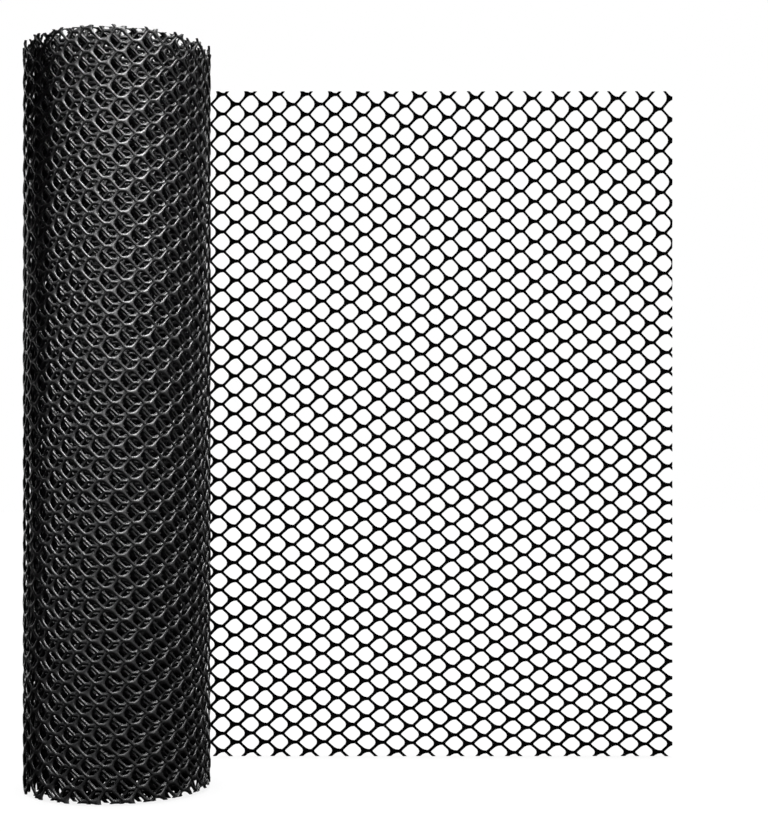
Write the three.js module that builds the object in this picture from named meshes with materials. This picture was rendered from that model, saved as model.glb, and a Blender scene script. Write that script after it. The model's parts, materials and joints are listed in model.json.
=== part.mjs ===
// A roll of extruded plastic hexagonal netting standing on end. The net is one piece: it is wound
// into a hollow spiral, and its free end leaves the roll at the left, bends loosely round the back
// and runs out flat to the right. Millimetres, +Z up, the front of the roll towards -Y.
// The holes are finer than these solids: each solid is the space that the net's layers take up.
import * as THREE from "three";

// Driving dimensions.
const NET_WIDTH = 400; // cut width of the net, which is the height of the roll as it stands
const NET_LENGTH = 3050; // whole length of the net, with the free end
const NET_THICKNESS = 1.7; // across a knot, where two strands are fused
const TURN_GAP = 0.3; // air between one turn and the next
const ROLL_DIAMETER = 102; // across the roll where the free end leaves it
const BEND_RADIUS = 92; // outside radius of the free end's bend round the back of the roll
const FREE_EDGE_REACH = 318; // from the roll's axis to the cut edge of the free end
const FACET_DEG = 3; // arc that one flat facet stands for

// Sizes that follow from them.
const ROLL_RADIUS = ROLL_DIAMETER / 2;
const TURN_PITCH = NET_THICKNESS + TURN_GAP;
const BEND_CENTRE_X = BEND_RADIUS - ROLL_RADIUS;
const FULL_TURN = 2 * Math.PI;
const LEAVING_ANGLE = Math.PI; // the roll's left side, where the free end leaves it
const BEND_LENGTH = (Math.PI / 2) * (BEND_RADIUS - NET_THICKNESS / 2);
const FLAT_LENGTH = FREE_EDGE_REACH - BEND_CENTRE_X;
const TURNS = turnsFor(NET_LENGTH - BEND_LENGTH - FLAT_LENGTH);

const blackPlastic = new THREE.MeshStandardMaterial({
  color: 0x101011,
  roughness: 0.45,
  metalness: 0,
});

// How many turns a length of net makes. Its middle line shrinks from the outer radius by one pitch
// a turn, so n turns take 2 pi n (outer - n pitch / 2) of net.
function turnsFor(length) {
  const outer = ROLL_RADIUS - NET_THICKNESS / 2;
  const share = length / (Math.PI * TURN_PITCH);
  const half = outer / TURN_PITCH;
  return half - Math.sqrt(half * half - share);
}

// Radius of the net's outer face after an angle of winding from the place where the free end leaves.
function outerFace(wound) {
  return ROLL_RADIUS - (TURN_PITCH * wound) / FULL_TURN;
}

// Points of one full turn of a face of the net, anticlockwise seen from above.
function turnPoints(firstWound, inset) {
  const facets = Math.round(360 / FACET_DEG);
  return Array.from({ length: facets + 1 }, (_, i) => {
    const wound = firstWound + (FULL_TURN * i) / facets;
    const radius = outerFace(wound) - inset;
    const angle = LEAVING_ANGLE + wound;
    return new THREE.Vector2(
      radius * Math.cos(angle),
      radius * Math.sin(angle),
    );
  });
}

// A quarter arc of the free end's bend, from its flat stretch back to the roll's left side.
function bendPoints(radius) {
  const facets = Math.round(90 / FACET_DEG);
  return Array.from({ length: facets + 1 }, (_, i) => {
    const angle = Math.PI / 2 + (Math.PI / 2) * (i / facets);
    return new THREE.Vector2(
      BEND_CENTRE_X + radius * Math.cos(angle),
      TURN_GAP + radius * Math.sin(angle),
    );
  });
}

// A section drawn on the ground, raised to the net's width.
function upright(name, section) {
  const geometry = new THREE.ExtrudeGeometry(section, {
    depth: NET_WIDTH,
    bevelEnabled: false,
  });
  const mesh = new THREE.Mesh(geometry, blackPlastic.clone());
  mesh.name = name;
  return mesh;
}

// The wound net: the first turn's outer face outside, the last turn's inner face round the hollow.
// Each spiral ends in a step one layer high, at the free end and at the net's inner cut edge.
function woundRoll() {
  const section = new THREE.Shape(turnPoints(0, 0));
  const lastTurn = (TURNS - 1) * FULL_TURN;
  section.holes.push(new THREE.Path(turnPoints(lastTurn, NET_THICKNESS)));
  return upright("roll", section);
}

// The free end: one layer, tangent to the roll's left side, a gap clear of the step it comes from.
function freeEnd() {
  const back = TURN_GAP + BEND_RADIUS;
  const outside = [
    new THREE.Vector2(FREE_EDGE_REACH, back),
    ...bendPoints(BEND_RADIUS),
  ];
  const inside = [
    new THREE.Vector2(FREE_EDGE_REACH, back - NET_THICKNESS),
    ...bendPoints(BEND_RADIUS - NET_THICKNESS),
  ];
  return upright(
    "loose_end",
    new THREE.Shape([...outside, ...inside.reverse()]),
  );
}

// The origin is the middle of the whole netting's ground box.
const group = new THREE.Group();
group.add(woundRoll(), freeEnd());
const middle = new THREE.Box3()
  .setFromObject(group)
  .getCenter(new THREE.Vector3());
group.position.set(-middle.x, -middle.y, 0);

export default group;
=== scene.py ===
"""Black plastic poultry netting, wound into a hollow roll that stands on end.

Its free end is led round the back and drawn out flat. The net is modelled flat,
hole by hole, then cut to size and wound.
"""

import json
import math

import bpy
import numpy as np
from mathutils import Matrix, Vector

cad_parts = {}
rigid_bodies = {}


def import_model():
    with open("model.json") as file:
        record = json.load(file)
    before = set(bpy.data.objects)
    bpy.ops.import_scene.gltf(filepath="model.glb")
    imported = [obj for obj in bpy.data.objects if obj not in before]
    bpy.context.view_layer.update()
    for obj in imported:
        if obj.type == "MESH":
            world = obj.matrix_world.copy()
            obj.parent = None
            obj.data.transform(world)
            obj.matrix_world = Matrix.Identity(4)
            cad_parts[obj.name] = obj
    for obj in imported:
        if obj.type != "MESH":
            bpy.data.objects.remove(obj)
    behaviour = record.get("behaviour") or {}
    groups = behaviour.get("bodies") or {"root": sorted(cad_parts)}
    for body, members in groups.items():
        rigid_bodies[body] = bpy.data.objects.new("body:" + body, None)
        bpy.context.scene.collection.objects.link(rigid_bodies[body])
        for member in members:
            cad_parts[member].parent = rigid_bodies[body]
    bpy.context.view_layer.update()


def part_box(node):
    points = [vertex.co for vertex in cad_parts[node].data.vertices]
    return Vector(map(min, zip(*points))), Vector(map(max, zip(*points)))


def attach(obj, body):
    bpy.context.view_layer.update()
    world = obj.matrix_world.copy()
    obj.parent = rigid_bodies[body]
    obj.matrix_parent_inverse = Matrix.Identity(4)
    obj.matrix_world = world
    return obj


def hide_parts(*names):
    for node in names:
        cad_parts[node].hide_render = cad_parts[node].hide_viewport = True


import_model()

MM = 0.001

# The net laid flat: x runs along it towards its inner end, y up its width, z out of the roll.
COLUMN = 8.6 * MM  # from one column of holes to the next
ROW = 11.3 * MM  # from one row of holes to the next
ROWS = 35
HALF_RIDGE = 1.5 * MM  # half of the ridge along a knot
KNOT_HALF_WIDTH = 0.80 * MM
FALLING_HALF_WIDTH = 0.78 * MM  # of a strand that falls to the right, seen from outside
RISING_HALF_WIDTH = 0.70 * MM
KNOT_HALF_DEPTH = 0.85 * MM
STRAND_HALF_DEPTH = 0.58 * MM
RELIEF = 0.25 * MM  # how far the falling strands stand out, and the rising ones lie back
STRAND_BEND = 0.05  # how much a strand levels out at its knots, of its length
MERGE_DISTANCE = 0.01 * MM
CUT_THRESHOLD = 0.0001 * MM
SPARE_ROWS = 5  # past the two cut edges
ROWS_BELOW_TOP = ROWS + 3.5  # where the lowest row starts
SPARE_LEFT = 35 * MM  # of net past the ends of a piece, for the columns' lean
SPARE_RIGHT = 20 * MM

# The whole net and how it is wound, as the frame has it.
NET_WIDTH = 400 * MM
NET_LENGTH = 3050 * MM
AXIS_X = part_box("roll")[0].x + 51 * MM
AXIS_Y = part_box("loose_end")[1].y - 92.3 * MM
OUTER_RADIUS = 50.15 * MM  # of the net's middle line where it leaves the roll
TURN_PITCH = 2.0 * MM
STEP_BACK = 0.3 * MM
BEND_RADIUS = 91.15 * MM
BEND_CENTRE = 41 * MM
BEND_END = STEP_BACK + BEND_RADIUS * math.pi / 2
FREE_EDGE = BEND_END + 277 * MM
WOUND_STRETCH = 0.982  # the wound columns' spacing, of the even net's
FIRST_COLUMN = -149.9 * MM  # a column of holes near the left end of the flat stretch
PLASTIC_SHARE = 0.41  # of the net's flat size is plastic

# How the real net differs from an even one.
FLAT_BLEND = 265 * MM  # over this length the wound part's rows turn into the flat stretch's
ROLL_TOP_GAP = 1.2 * MM  # from the cut edge down to the first row
FLAT_TOP_GAP = 4.5 * MM
BEND_DROP = 0.7 * MM
SECOND_TURN_RISE = 2.6 * MM
INNER_DROP = 4.2 * MM
ROLL_SPAN = 395.2 * MM  # from the first row to the last
FLAT_SPAN = 393.3 * MM
ROLL_BUNCH = 0.062  # how much closer the rows are at the bottom
FLAT_BUNCH = 0.137
SETTLE = 2.0 * MM  # the lowest stubs of the wound part stand on the floor
EVEN_COLUMN = 8.6  # millimetres, with the three that follow
TOP_COLUMN = 8.46
COLUMN_GROWTH = 0.62
COLUMN_BOW = 0.33
FLAT_LEAN = 2.16 * MM  # sideways, of a column of the flat stretch at its middle
FLAT_LEAN_POWER = 1.6
ROLL_LEAN = 12.6 * MM  # of a column of the roll, from top to bottom
ROLL_LEAN_AT_FOOT = 8.2 * MM
SECOND_TURN_SHIFT = 4.4 * MM
THIRD_TURN_SHIFT = 2.0 * MM
INNER_SWAY = 3.0 * MM
SWAY = 0.35 * MM
FINE_SWAY = 0.1 * MM
TURN_SLIP = 0.6 * MM  # of the turns, up along the axis
STUB_BEND = 0.7 * MM  # of the cut stubs, in or out
STUB_LIFT = 0.5 * MM
HOLE_NARROWING = 0.20 * MM  # of a hole's radius, from top to bottom
HOLE_VARIATION = 0.05 * MM


# One hole of the net.


def tile_corners():
    """The middles of the ridges round one hole, from its point, going round to the left."""
    reach = COLUMN - HALF_RIDGE
    top = ROW / 2
    return np.array(
        [
            (reach, 0),
            (HALF_RIDGE, top),
            (-HALF_RIDGE, top),
            (-reach, 0),
            (-HALF_RIDGE, -top),
            (HALF_RIDGE, -top),
        ]
    )


def inset_line(start, end, inset):
    """A side of the tile moved into the hole: a point on it and its direction."""
    along = (end - start) / np.linalg.norm(end - start)
    inward = np.array((-along[1], along[0]))
    return start + inward * inset, along


def crossing(one, other):
    """Where two lines cross."""
    (p, d), (q, e) = one, other
    cross = d[0] * e[1] - d[1] * e[0]
    step = ((q[0] - p[0]) * e[1] - (q[1] - p[1]) * e[0]) / cross
    return p + d * step


def rounded(before, after, radius, share):
    """A point on the arc that rounds the corner between two lines, share of the way round it."""
    corner = crossing(before, after)
    turn = math.acos(float(np.clip(before[1] @ after[1], -1, 1)))
    start = corner - before[1] * radius * math.tan(turn / 2)
    inward = np.array((-before[1][1], before[1][0]))
    centre = start + inward * radius
    angle = turn * share
    spoke = start - centre
    c, s = math.cos(angle), math.sin(angle)
    return centre + np.array((c * spoke[0] - s * spoke[1], s * spoke[0] + c * spoke[1]))


def foot(line, point):
    """The nearest point of a line."""
    return line[0] + line[1] * float((point - line[0]) @ line[1])


class Outline:
    """The rings of points round one hole: the ridge half way across the strands, and the hole's side."""

    # Of the hole's six corners: its point, the long curve over it, the short one, and its blunt end.
    CORNER_RADII = (0.5 * MM, 5.6 * MM, 1.0 * MM, 3.0 * MM, 1.0 * MM, 5.6 * MM)
    CORNER_SHARES = (0.5, 0.6, 0.5, 0.5, 0.5, 0.4)
    WIDE_CURVE = 2 * MM
    NEAR_CORNER = 0.3  # of a side's length

    def __init__(self, shares):
        """shares are where the points between two corners stand, the same from either end."""
        corners = tile_corners()
        insets = (
            FALLING_HALF_WIDTH,
            KNOT_HALF_WIDTH,
            RISING_HALF_WIDTH,
            FALLING_HALF_WIDTH,
            KNOT_HALF_WIDTH,
            RISING_HALF_WIDTH,
        )
        sides = [
            inset_line(corners[k], corners[(k + 1) % 6], insets[k]) for k in range(6)
        ]
        ridge, side, lift, depth = [], [], [], []
        for k in range(6):
            start, end = corners[k], corners[(k + 1) % 6]
            ridge.append(start)
            radius, share = self.CORNER_RADII[k], self.CORNER_SHARES[k]
            side.append(rounded(sides[k - 1], sides[k], radius, share))
            lift.append(0.0)
            depth.append(KNOT_HALF_DEPTH)
            beside_knot = k in (1, 4)
            if beside_knot:
                continue
            falls = k in (0, 3)
            out = RELIEF if falls else -RELIEF
            for share in shares:
                point = start + (end - start) * share
                point[1] = start[1] + (end[1] - start[1]) * self.eased(share)
                wave = math.sin(math.pi * share)
                ridge.append(point)
                side.append(self.hole_side(sides, k, share, point))
                lift.append(out * wave)
                depth.append(
                    KNOT_HALF_DEPTH + (STRAND_HALF_DEPTH - KNOT_HALF_DEPTH) * wave
                )
        self.ridge = np.array(ridge)
        self.side = np.array(side)
        self.lift = np.array(lift)
        self.depth = np.array(depth)

    @staticmethod
    def eased(share):
        """A strand leaves a knot level and is steepest half way to the next."""
        return share - STRAND_BEND * math.sin(2 * math.pi * share)

    def hole_side(self, sides, k, share, point):
        """The hole's side across from a point of the ridge, on the curve of a wide corner if near it."""
        after = (k + 1) % 6
        if share > 1 - self.NEAR_CORNER and self.CORNER_RADII[after] > self.WIDE_CURVE:
            return rounded(sides[k], sides[after], self.CORNER_RADII[after], 0.2)
        if share < self.NEAR_CORNER and self.CORNER_RADII[k] > self.WIDE_CURVE:
            return rounded(sides[k - 1], sides[k], self.CORNER_RADII[k], 0.8)
        return foot(sides[k], point)

    def ring(self, across, height):
        """Points across of the way from the ridge to the hole's side, at height times the depth."""
        flat = self.ridge + (self.side - self.ridge) * across
        return np.column_stack((flat, self.lift + self.depth * height))


# The section of half a strand, as shares of its half width and half depth.
FINE = Outline((0.22, 0.5, 0.78))
FINE_SECTION = ((0.0, 1.0), (0.707, 0.707), (1.0, 0.0), (0.707, -0.707), (0.0, -1.0))
COARSE = Outline((0.5,))
COARSE_SECTION = ((0.0, 1.0), (1.0, 0.0), (0.0, -1.0))


def select_only(obj):
    bpy.ops.object.select_all(action="DESELECT")
    obj.select_set(True)
    bpy.context.view_layer.objects.active = obj


def read_points(obj):
    flat = np.empty(len(obj.data.vertices) * 3)
    obj.data.vertices.foreach_get("co", flat)
    return flat.reshape(-1, 3)


def write_points(obj, points):
    obj.data.vertices.foreach_set("co", points.ravel())
    obj.data.update()


def net_cell(name, outline, section):
    """Half of each strand round one hole, as a band extruded ring by ring from a circle."""
    count = len(outline.ridge)
    bpy.ops.object.select_all(action="DESELECT")
    bpy.ops.mesh.primitive_circle_add(vertices=count, radius=COLUMN)
    cell = bpy.context.active_object
    cell.name = name
    for _ in section[1:]:
        bpy.ops.object.mode_set(mode="EDIT")
        bpy.ops.mesh.extrude_edges_move()
        bpy.ops.object.mode_set(mode="OBJECT")
    place_rings(cell, outline, section)
    bpy.ops.object.mode_set(mode="EDIT")
    bpy.ops.mesh.select_all(action="SELECT")
    bpy.ops.mesh.normals_make_consistent(inside=False)
    bpy.ops.object.mode_set(mode="OBJECT")
    return cell


def place_rings(cell, outline, section):
    """Moves each ring of the band to its place. A ring's points keep the order of the circle's."""
    start = read_points(cell)
    turn = np.arctan2(start[:, 1], start[:, 0])
    count = len(outline.ridge)
    first = turn[0]
    order = np.rint((turn - first) / (2 * math.pi / count)).astype(int) % count
    points = np.empty_like(start)
    for k, (across, height) in enumerate(section):
        ring = outline.ring(across, height)
        rows = slice(k * count, (k + 1) * count)
        points[rows] = ring[order[rows]]
    write_points(cell, points)
    across = cell.data.attributes.new("across", "FLOAT", "POINT")
    across.data.foreach_set("value", np.repeat([ring[0] for ring in section], count))


# The flat net.


def repeat(obj, offset, count):
    """Copies the mesh in a row and joins each copy to the one before."""
    select_only(obj)
    array = obj.modifiers.new("repeat", "ARRAY")
    array.use_relative_offset = False
    array.use_constant_offset = True
    array.constant_offset_displace = offset
    array.count = count
    array.use_merge_vertices = True
    array.merge_threshold = MERGE_DISTANCE
    bpy.ops.object.modifier_apply(modifier=array.name)


def blank_net(name, outline, section, start, end):
    """Whole columns of holes that reach past start and end, and whole rows past both edges."""
    net = net_cell(name, outline, section)
    pair = 2 * COLUMN * WOUND_STRETCH
    first = math.floor((start - FIRST_COLUMN - SPARE_LEFT) / pair) * 2
    last = math.ceil((end - FIRST_COLUMN + SPARE_RIGHT) / pair) * 2
    repeat(net, (COLUMN, ROW / 2, 0), 2)
    repeat(net, (2 * COLUMN, 0, 0), (last - first) // 2)
    repeat(net, (0, ROW, 0), ROWS + SPARE_ROWS)
    points = read_points(net)
    points[:, 0] += first * COLUMN + FIRST_COLUMN
    points[:, 1] -= ROWS_BELOW_TOP * ROW
    write_points(net, points)
    return net


def smooth(x):
    """Rises from 0 to 1 as x does, level at both ends."""
    x = np.clip(x, 0, 1)
    return x * x * (3 - 2 * x)


def reached(x, start, length):
    """How far x is past a place on the net, from 0 there to 1 a length further in."""
    return smooth((x - start) / length)


def row_height(x, down):
    """Height of a row, a share down of the way down the net at x along it."""
    flat = smooth((FIRST_COLUMN - x) / FLAT_BLEND)
    gap = ROLL_TOP_GAP + (FLAT_TOP_GAP - ROLL_TOP_GAP) * flat
    gap = gap + BEND_DROP * smooth(1 - flat * 4)
    gap = gap - SECOND_TURN_RISE * reached(x, 420 * MM, 200 * MM)
    gap = gap + INNER_DROP * reached(x, 1020 * MM, 120 * MM)
    span = ROLL_SPAN + (FLAT_SPAN - ROLL_SPAN) * flat
    bunch = ROLL_BUNCH + (FLAT_BUNCH - ROLL_BUNCH) * flat
    height = NET_WIDTH - gap - span * (down + bunch * down * (1 - down))
    settled = reached(x, -40 * MM, 40 * MM) * (1 - reached(x, 70 * MM, 40 * MM))
    settled = settled + reached(x, 170 * MM, 100 * MM)
    return height - SETTLE * settled * smooth(1 - height / (15 * MM))


def column_place(x, d):
    """Length along the net of a column, a share d of the way down it."""
    spread = TOP_COLUMN + COLUMN_GROWTH * d - COLUMN_BOW * d * d
    beyond = np.minimum(x - FIRST_COLUMN, 0)
    wound_part = np.maximum(x - FIRST_COLUMN, 0)
    along = FIRST_COLUMN + beyond * spread / EVEN_COLUMN + wound_part * WOUND_STRETCH
    along = along - SECOND_TURN_SHIFT * reached(x, 170 * MM, 150 * MM)
    along = along - THIRD_TURN_SHIFT * reached(x, 420 * MM, 200 * MM)
    blend = reached(x, FIRST_COLUMN, 210 * MM)
    lean_flat = FLAT_LEAN * np.sin(math.pi * d**FLAT_LEAN_POWER)
    lean_roll = ROLL_LEAN * d + ROLL_LEAN_AT_FOOT * d**4
    along = along + lean_flat * (1 - blend) + lean_roll * blend
    deep = reached(x, 250 * MM, 400 * MM)
    return along + INNER_SWAY * deep * (d - 0.3) * np.sin(x / (170 * MM))


def uneven(points):
    """Pulls the even net into the real one's shape, with its bunched rows and leaning columns.

    x becomes the length along the net and y the height.
    """
    x, y, z = points.T
    down = -y / (ROWS * ROW)
    height = row_height(x, down)
    along = column_place(x, np.clip(down, 0, 1))
    along = along + SWAY * np.sin(y / (31 * MM) + x / (47 * MM))
    height = height + SWAY * np.sin(x / (39 * MM) + 0.4 * np.sin(y / (60 * MM)))
    along = along + FINE_SWAY * np.sin(x / (3.1 * MM) + y / (7.7 * MM))
    height = height + FINE_SWAY * np.sin(y / (4.3 * MM) - x / (6.1 * MM))
    return np.column_stack((along, height, z))


def cut(obj, place, normal):
    """Cuts off what lies on the normal's side of a plane, and closes each cut strand."""
    select_only(obj)
    bpy.ops.object.mode_set(mode="EDIT")
    bpy.ops.mesh.select_all(action="SELECT")
    bpy.ops.mesh.bisect(
        plane_co=place,
        plane_no=normal,
        use_fill=True,
        clear_outer=True,
        threshold=CUT_THRESHOLD,
    )
    bpy.ops.mesh.mark_sharp()
    bpy.ops.object.mode_set(mode="OBJECT")


def wind(points):
    """Bends the flat net into the spiral, the loose bend round the back and the flat stretch."""
    s, height, out = points.T
    inward = np.maximum(s, 0)
    root = np.sqrt(OUTER_RADIUS**2 - TURN_PITCH * inward / math.pi)
    angle = 2 * math.pi / TURN_PITCH * (OUTER_RADIUS - root)
    radius = root + out
    x = -radius * np.cos(angle)
    y = -radius * np.sin(angle)
    back = np.clip(-s - STEP_BACK, 0, BEND_END - STEP_BACK)
    turn = math.pi - back / BEND_RADIUS
    bend_x = BEND_CENTRE + (BEND_RADIUS + out) * np.cos(turn)
    bend_y = STEP_BACK + (BEND_RADIUS + out) * np.sin(turn)
    bend_x += np.maximum(-s - BEND_END, 0)
    bend_y -= np.maximum(STEP_BACK + s, 0) * (s < 0)
    x = np.where(s < 0, bend_x, x)
    y = np.where(s < 0, bend_y, y)
    slip = TURN_SLIP * (1 + np.sin(inward / (61 * MM) - 1.3)) * smooth(inward / (200 * MM))
    return np.column_stack((AXIS_X + x, AXIS_Y + y, height + slip))


def stray(points):
    """Bends the cut stubs along the wound part's edges a little, each its own way."""
    s, height, out = points.T
    near_top = smooth((height - NET_WIDTH + 7 * MM) / (7 * MM))
    near_foot = smooth((5 * MM - height) / (5 * MM))
    wound_part = smooth(s / (4 * MM))
    aside = STUB_BEND * (near_top + 0.5 * near_foot) * np.sin(s / (2.9 * MM))
    lift = STUB_LIFT * near_top * np.sin(s / (2.35 * MM)) * np.sin(s / (17 * MM))
    out = out + aside * wound_part
    height = height + lift * wound_part
    return np.column_stack((s, height, out))


def thicken(net):
    """Narrows the holes towards the bottom, where the rows are closer, and varies them a little."""
    points = read_points(net)
    across = np.empty(len(points))
    net.data.attributes["across"].data.foreach_get("value", across)
    column = np.rint((points[:, 0] - FIRST_COLUMN) / COLUMN)
    middles = []
    for near in (column - 1, column, column + 1):
        x = FIRST_COLUMN + near * COLUMN
        lift = np.where(near % 2 == 0, 0.5, 0.0)
        y = (np.rint(points[:, 1] / ROW - lift) + lift) * ROW
        middles.append(np.column_stack((x, y)))
    gaps = [np.hypot(*(points[:, :2] - m).T) for m in middles]
    nearest = np.argmin(gaps, axis=0)
    middle = np.choose(nearest[:, None], middles)
    away = points[:, :2] - middle
    down = -middle[:, 1] / (ROWS * ROW)
    narrow = HOLE_NARROWING * (down - 0.15)
    phase = middle[:, 0] / (3.7 * MM) + np.sin(middle[:, 1] / (5.1 * MM)) * 2
    vary = HOLE_VARIATION * np.sin(phase)
    inward = (narrow + vary) * across / np.maximum(np.hypot(*away.T), 1 * MM)
    points[:, :2] -= away * inward[:, None]
    write_points(net, points)


def net_piece(name, outline, section, start, end, node):
    """One length of the net, cut to its width and ends, then wound to its place."""
    net = blank_net(name, outline, section, start, end)
    thicken(net)
    write_points(net, uneven(read_points(net)))
    cut(net, (0, NET_WIDTH, 0), (0, 1, 0))
    cut(net, (0, 0, 0), (0, -1, 0))
    cut(net, (start, 0, 0), (-1, 0, 0))
    cut(net, (end, 0, 0), (1, 0, 0))
    write_points(net, wind(stray(read_points(net))))
    bpy.ops.object.mode_set(mode="EDIT")
    bpy.ops.mesh.select_all(action="SELECT")
    bpy.ops.mesh.normals_make_consistent(inside=False)
    bpy.ops.object.mode_set(mode="OBJECT")
    bpy.ops.object.shade_smooth()
    net.data.materials.clear()
    net.data.materials.append(black_plastic)
    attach(net, "root")
    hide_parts(node)
    length = end - start
    PLASTIC_SHARE * NET_WIDTH * length
    return net


# Material.


class Wire:
    """A socket whose sums and products add the Math nodes that they need."""

    def __init__(self, tree, socket):
        self.tree = tree
        self.socket = socket

    def _math(self, operation, one, other):
        return self.tree.node(
            "ShaderNodeMath", {"operation": operation}, {0: one, 1: other}
        )[0]

    def __add__(self, other):
        return self._math("ADD", self, other)

    __radd__ = __add__

    def __mul__(self, other):
        return self._math("MULTIPLY", self, other)

    __rmul__ = __mul__

    def __sub__(self, other):
        return self._math("SUBTRACT", self, other)

    def __rsub__(self, other):
        return self._math("SUBTRACT", other, self)


class Tree:
    """The nodes of one material or of the world."""

    def __init__(self, owner):
        owner.use_nodes = True
        self.nodes = owner.node_tree.nodes
        self.links = owner.node_tree.links
        self.nodes.clear()

    def node(self, kind, settings=None, inputs=None):
        """Adds a node, sets it up, then fills its sockets with values or links. Gives its outputs."""
        made = self.nodes.new(kind)
        for key, value in (settings or {}).items():
            setattr(made, key, value)
        for key, value in (inputs or {}).items():
            socket = made.inputs[key]
            if isinstance(value, Wire):
                self.links.new(value.socket, socket)
            else:
                socket.default_value = value
        return [Wire(self, out) for out in made.outputs]

    def named(self, wires, name):
        return next(w for w in wires if w.socket.name == name)

    def noise(self, place, scale):
        return self.node(
            "ShaderNodeTexNoise", {}, {"Vector": place, "Scale": scale, "Detail": 2.0}
        )[0]

    def mix(self, share, one, other):
        """A colour between two others."""
        sockets = {0: share, 6: one, 7: other}
        return self.node("ShaderNodeMix", {"data_type": "RGBA"}, sockets)[2]

    def camera_sees(self, seen, unseen):
        """One shader where the camera looks straight at it, and the other for all else."""
        ray = self.named(self.node("ShaderNodeLightPath"), "Is Camera Ray")
        return self.node("ShaderNodeMixShader", {}, {0: ray, 1: unseen, 2: seen})[0]


def make_black_plastic():
    """Satin extruded plastic, clouded and finely grained."""
    material = bpy.data.materials.new("black_plastic")
    tree = Tree(material)
    place = tree.named(tree.node("ShaderNodeTexCoord"), "Object")
    cloud = tree.noise(place, 45.0)
    grain = tree.noise(place, 900.0)
    colour = tree.mix(cloud, (0.003, 0.003, 0.0032, 1), (0.006, 0.006, 0.0064, 1))
    bump = tree.node(
        "ShaderNodeBump", {}, {"Strength": 0.4, "Distance": 0.05 * MM, "Height": grain}
    )[0]
    shader = tree.node(
        "ShaderNodeBsdfPrincipled",
        {},
        {
            "Base Color": colour,
            "Roughness": 0.44 + 0.10 * cloud + 0.06 * grain,
            "IOR": 1.5,
            "Normal": bump,
        },
    )[0]
    tree.node("ShaderNodeOutputMaterial", {}, {"Surface": shader})
    return material


black_plastic = make_black_plastic()


# Pieces.


def spiral_length(turns):
    """Length of net from where it leaves the roll to so many turns in."""
    return math.pi * turns * (2 * OUTER_RADIUS - turns * TURN_PITCH)


def build_net():
    """The free end in two pieces, then the roll turn by turn. Only the outer turn is fine."""
    net_piece("loose_end_flat", FINE, FINE_SECTION, -FREE_EDGE, -BEND_END, "loose_end")
    net_piece("loose_end_bend", FINE, FINE_SECTION, -BEND_END, 0, "loose_end")
    inner_end = NET_LENGTH - FREE_EDGE
    start, turn, outline, section = 0.0, 1, FINE, FINE_SECTION
    while start < inner_end - 1 * MM:
        end = min(spiral_length(turn), inner_end)
        net_piece(f"turn_{turn:02d}", outline, section, start, end, "roll")
        start, turn, outline, section = end, turn + 1, COARSE, COARSE_SECTION


build_net()


# Floor, light and camera.


WHITE = (1, 1, 1, 1)
ROLL_MIDDLE = (AXIS_X, AXIS_Y, 200 * MM)
BEAM_AIM = (AXIS_X - 50 * MM, AXIS_Y, 130 * MM)  # of the lights that have a grid
# The card's edge by the roll, and how many degrees left of the roll's front it stands.
CARD_START = 52.5 * MM
CARD_REACH = 45 * MM
CARD_HEIGHT = 500 * MM
CARD_TOP_SIDE = 28
CARD_FOOT_SIDE = 41


def background(tree, strength):
    return tree.node("ShaderNodeBackground", {}, {"Color": WHITE, "Strength": strength})[0]


def diffuse(tree, grey):
    return tree.node("ShaderNodeBsdfDiffuse", {}, {"Color": (grey, grey, grey, 1)})[0]


def white_surround():
    """The world is white to the camera and dim to the net, as in a studio with dark flags."""
    world = bpy.context.scene.world or bpy.data.worlds.new("surround")
    bpy.context.scene.world = world
    tree = Tree(world)
    both = tree.camera_sees(background(tree, 1.0), background(tree, 0.01))
    tree.node("ShaderNodeOutputWorld", {}, {"Surface": both})


def pale_floor():
    """White to the camera, and dark to the net, as if only the surround were lit."""
    bpy.ops.object.select_all(action="DESELECT")
    bpy.ops.mesh.primitive_plane_add(size=12, location=(0, 0, -0.5 * MM))
    floor = bpy.context.active_object
    floor.name = "floor"
    material = bpy.data.materials.new("pale_floor")
    tree = Tree(material)
    glow = tree.node("ShaderNodeEmission", {}, {"Color": WHITE, "Strength": 0.88})[0]
    white = tree.node("ShaderNodeAddShader", {}, {0: diffuse(tree, 0.12), 1: glow})[0]
    both = tree.camera_sees(white, diffuse(tree, 0.05))
    tree.node("ShaderNodeOutputMaterial", {}, {"Surface": both})
    floor.data.materials.append(material)
    return floor


def group_of(name, objects):
    group = bpy.data.collections.new(name)
    for obj in objects:
        group.objects.link(obj)
    return group


def light_only(light, objects):
    """The light falls on these objects alone, like a lamp behind flags."""
    light.light_linking.receiver_collection = group_of(light.name + "_on", objects)


def floor_light(floor):
    """Straight down, so that the net's shadow stays under it."""
    bpy.ops.object.select_all(action="DESELECT")
    bpy.ops.object.light_add(type="SUN", location=(0, 0, 2))
    sun = bpy.context.active_object
    sun.name = "floor_light"
    sun.data.energy = 4.2
    sun.data.angle = math.radians(8)
    light_only(sun, [floor])
    net = [o for o in bpy.data.objects if o.name.startswith(("turn_", "loose_end_"))]
    sun.light_linking.blocker_collection = group_of("floor_light_shadow", net)


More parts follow.
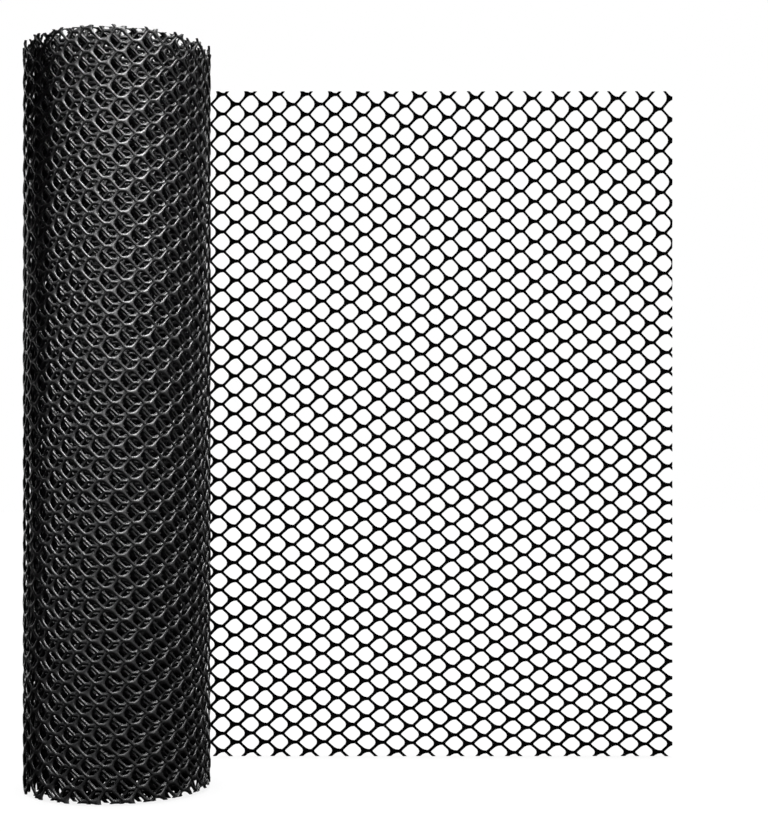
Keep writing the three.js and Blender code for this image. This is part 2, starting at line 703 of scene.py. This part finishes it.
def studio_light(name, left, up, size, power, distance, beam=None):
    """A softbox aimed at the roll, so many degrees left of the front and up.

    With a beam it has a grid in front, is aimed at the roll's left side and
    fades to nothing that far from its aim, so the right side gets less.
    """
    left, up = math.radians(left), math.radians(up)
    away = (-math.cos(up) * math.sin(left), -math.cos(up) * math.cos(left), math.sin(up))
    place = [m + distance * a for m, a in zip(ROLL_MIDDLE, away)]
    aim = BEAM_AIM if beam else ROLL_MIDDLE
    x, y, z = [p - a for p, a in zip(place, aim)]
    bpy.ops.object.select_all(action="DESELECT")
    bpy.ops.object.light_add(
        type="AREA",
        location=place,
        rotation=(math.atan2(math.hypot(x, y), z), 0, math.atan2(x, -y)),
    )
    light = bpy.context.active_object
    light.name = name
    light.data.shape = "RECTANGLE"
    light.data.size, light.data.size_y = size
    light.data.energy = power
    if beam:
        half = math.atan(beam / distance)
        light.data.spread = 2 * half
        light.data.energy = power * (1 - half / math.tan(half))
    return light


def black_card():
    """A card on edge beside the roll, out of sight, that keeps a strip of its left side dark."""
    bpy.ops.object.select_all(action="DESELECT")
    bpy.ops.mesh.primitive_grid_add(x_subdivisions=1, y_subdivisions=8, size=1)
    card = bpy.context.active_object
    card.name = "black_card"
    points = read_points(card)
    out = CARD_START + CARD_REACH * (points[:, 0] + 0.5)
    height = CARD_HEIGHT * (points[:, 1] + 0.5)
    side = np.radians(CARD_FOOT_SIDE + (CARD_TOP_SIDE - CARD_FOOT_SIDE) * height / NET_WIDTH)
    place = (AXIS_X - out * np.sin(side), AXIS_Y - out * np.cos(side), height)
    write_points(card, np.column_stack(place))
    card.visible_camera = False
    card.visible_diffuse = False
    card.visible_glossy = False
    card.data.materials.append(black_plastic)
    return card


def light_roll():
    """A tall arc of softboxes in front, and one at each side behind and at the back.

    The arc lights the roll alone, and its light passes through the outer turn. A
    card keeps the arc's three upper lights off a strip of the roll's left side.
    """
    turns = [o for o in bpy.data.objects if o.name.startswith("turn_")]
    inner = [o for o in turns if o.name > "turn_01"]
    card = black_card()
    arc = [
        studio_light("high", -14, 62, (0.26, 0.14), 32, 0.62, beam=0.20),
        studio_light("upper", -16, 52, (0.32, 0.18), 7.5, 0.72, beam=0.20),
        studio_light("middle", -25, 45, (0.40, 0.22), 2.0, 0.84, beam=0.24),
        studio_light("lower", -30, 36, (0.44, 0.24), 0.3, 0.96),
        studio_light("low", -35, 24, (0.48, 0.26), 0.25, 1.08),
    ]
    for light in arc:
        light_only(light, turns)
        shadow = group_of(light.name + "_shadow", inner)
        if light.name not in ("lower", "low"):
            shadow.objects.link(card)
        light.light_linking.blocker_collection = shadow
    studio_light("left_rim", 140, 8, (0.20, 0.60), 2.0, 0.8)
    studio_light("right_rim", -140, 8, (0.20, 0.60), 0.12, 0.8)
    light_only(studio_light("back", 180, 45, (0.60, 0.40), 8, 1.0), turns)


def photo_camera():
    """In front of the roll and the flat stretch, level, a little below half their height."""
    bpy.ops.object.camera_add(
        location=(AXIS_X + 144.5 * MM, AXIS_Y - 865 * MM, 170 * MM),
        rotation=(math.pi / 2, 0, 0),
    )
    camera = bpy.context.active_object
    camera.data.lens = 68.76
    camera.data.shift_y = 0.0692
    camera.data.clip_start = 0.01
    bpy.context.scene.camera = camera


white_surround()
floor_light(pale_floor())
light_roll()
photo_camera()
bpy.context.scene.view_settings.view_transform = "Standard"
